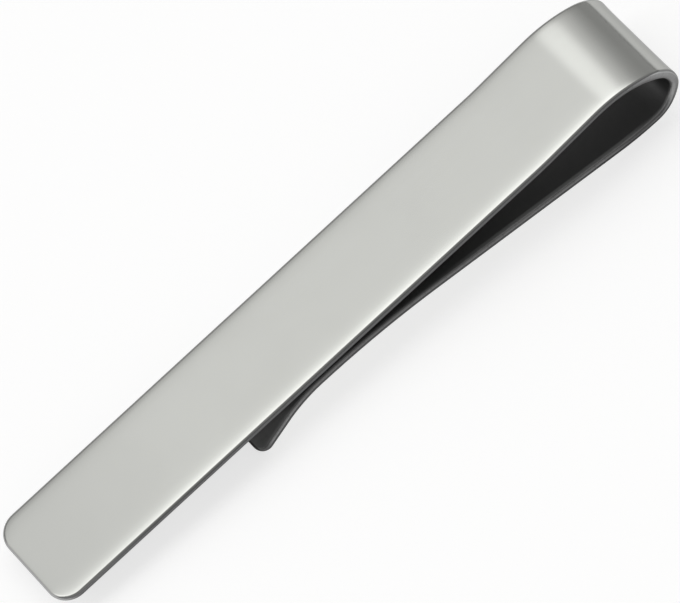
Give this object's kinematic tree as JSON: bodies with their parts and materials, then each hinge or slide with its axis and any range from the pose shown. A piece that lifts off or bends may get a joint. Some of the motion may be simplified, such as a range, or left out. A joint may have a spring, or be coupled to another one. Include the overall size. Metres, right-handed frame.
{
  "type": "tie clip",
  "caption": "Plain polished steel tie clip: a flat front bar folds over at a teardrop loop into a spring leg with a shallow grip bend and an out-turned lead-in lip.",
  "frame": {"origin": "under the middle of the clip's length and width, level with the lowest line of the loop", "axes": "+X along the front bar towards the loop, +Y across the strip, +Z out of the front face"},
  "size_m": [0.055, 0.008, 0.0071],
  "materials": {
    "strip_steel": "fine satin polish on the outside and over the tumbled edges, duller and darker on the blanked sides and inside the loop"
  },
  "bodies": {
    "front": {"front_bar": "strip_steel"},
    "loop_front": {"shoulder": "strip_steel", "crown_front": "strip_steel"},
    "loop_back": {"crown_back": "strip_steel"},
    "leg_root": {"heel": "strip_steel"},
    "leg": {"back_leg": "strip_steel", "grip_bend": "strip_steel", "lead_in_lip": "strip_steel"}
  },
  "joints": [
    {"name": "shoulder_flex", "type": "hinge", "parent": "front", "child": "loop_front", "pos_m": [0.01565, 0, 0.00671], "axis": [0, -1, 0], "range_deg": [0, 1.7]},
    {"name": "clip_opening", "type": "hinge", "parent": "loop_front", "child": "loop_back", "pos_m": [0.0275, 0, 0.00287], "axis": [0, -1, 0], "range_deg": [0, 2.8], "stiffness_Nm_per_rad": 7.7},
    {"name": "heel_flex", "type": "hinge", "parent": "loop_back", "child": "leg_root", "pos_m": [0.02463, 0, 0], "axis": [0, -1, 0], "range_deg": [0, 2]},
    {"name": "leg_flex", "type": "hinge", "parent": "leg_root", "child": "leg", "pos_m": [0.01416, 0, 0.00196], "axis": [0, -1, 0], "range_deg": [0, 2.4]}
  ],
  "couplings": [
    {"joint": "shoulder_flex", "follows": "clip_opening", "ratio": 0.6},
    {"joint": "heel_flex", "follows": "clip_opening", "ratio": 0.7},
    {"joint": "leg_flex", "follows": "clip_opening", "ratio": 0.85}
  ]
}
